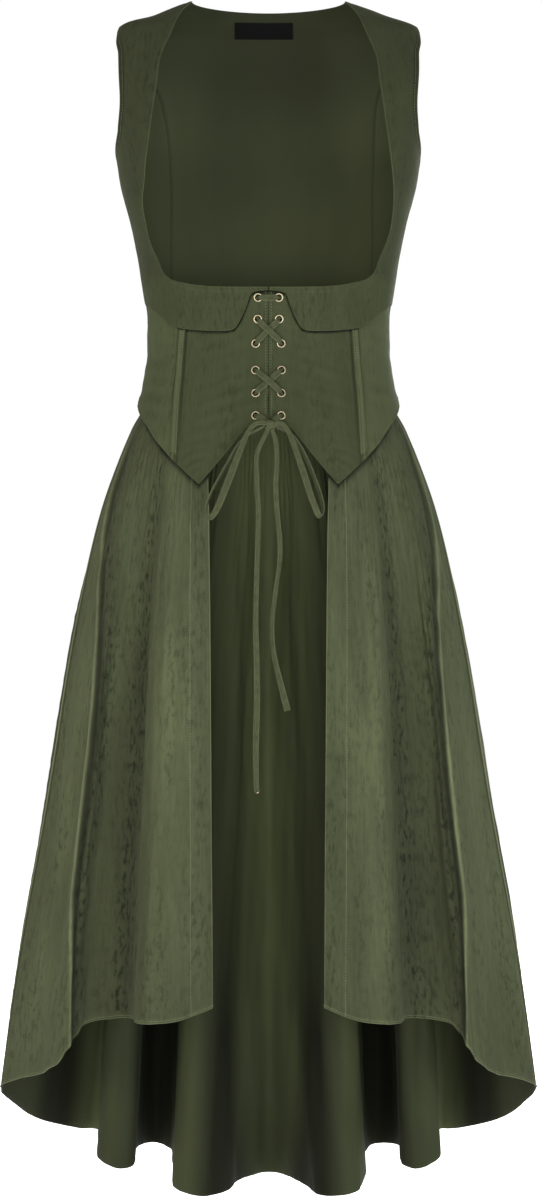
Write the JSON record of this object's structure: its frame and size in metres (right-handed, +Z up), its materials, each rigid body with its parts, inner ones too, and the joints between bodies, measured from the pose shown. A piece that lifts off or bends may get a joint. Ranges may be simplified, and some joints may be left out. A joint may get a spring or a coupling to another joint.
{
  "type": "open-front medieval overdress",
  "caption": "Sleeveless dark green overdress, worn and filled out: square neck, laced underbust bodice with pointed lower edge, open high-low skirt in soft flutes.",
  "frame": {"origin": "midway between the two neck points of the shoulder seams", "axes": "+Z up, -Y to the front, +X to the right of someone who looks at the front"},
  "size_m": [0.578, 0.3644, 1.307],
  "materials": {
    "faux_suede": "brushed matte suede",
    "suede_tie": "brushed matte suede",
    "antique_brass": "satin, slightly aged",
    "woven_label": "woven satin"
  },
  "bodies": {
    "root": {"back_centre": "faux_suede", "channel_left": "faux_suede", "channel_right": "faux_suede", "corset_front_left": "faux_suede", "corset_front_right": "faux_suede", "corset_side_left": "faux_suede", "corset_side_right": "faux_suede", "eyelet_left_1": "antique_brass", "eyelet_left_2": "antique_brass", "eyelet_left_3": "antique_brass", "eyelet_left_4": "antique_brass", "eyelet_left_5": "antique_brass", "eyelet_left_6": "antique_brass", "eyelet_right_1": "antique_brass", "eyelet_right_2": "antique_brass", "eyelet_right_3": "antique_brass", "eyelet_right_4": "antique_brass", "eyelet_right_5": "antique_brass", "eyelet_right_6": "antique_brass", "label": "woven_label", "lace_bar": "suede_tie", "lace_inside_left_1": "suede_tie", "lace_inside_left_2": "suede_tie", "lace_inside_left_3": "suede_tie", "lace_inside_right_1": "suede_tie", "lace_inside_right_2": "suede_tie", "lace_inside_right_3": "suede_tie", "lace_knot": "suede_tie", "lace_loop_left": "suede_tie", "lace_loop_right": "suede_tie", "lace_lower_over": "suede_tie", "lace_lower_under": "suede_tie", "lace_tail_left": "suede_tie", "lace_tail_right": "suede_tie", "lace_to_knot_left": "suede_tie", "lace_to_knot_right": "suede_tie", "lace_upper_over": "suede_tie", "lace_upper_under": "suede_tie", "side_back_left": "faux_suede", "side_back_right": "faux_suede", "skirt_back": "faux_suede", "skirt_front_left": "faux_suede", "skirt_front_right": "faux_suede", "yoke_left": "faux_suede", "yoke_right": "faux_suede"}
  },
  "joints": []
}
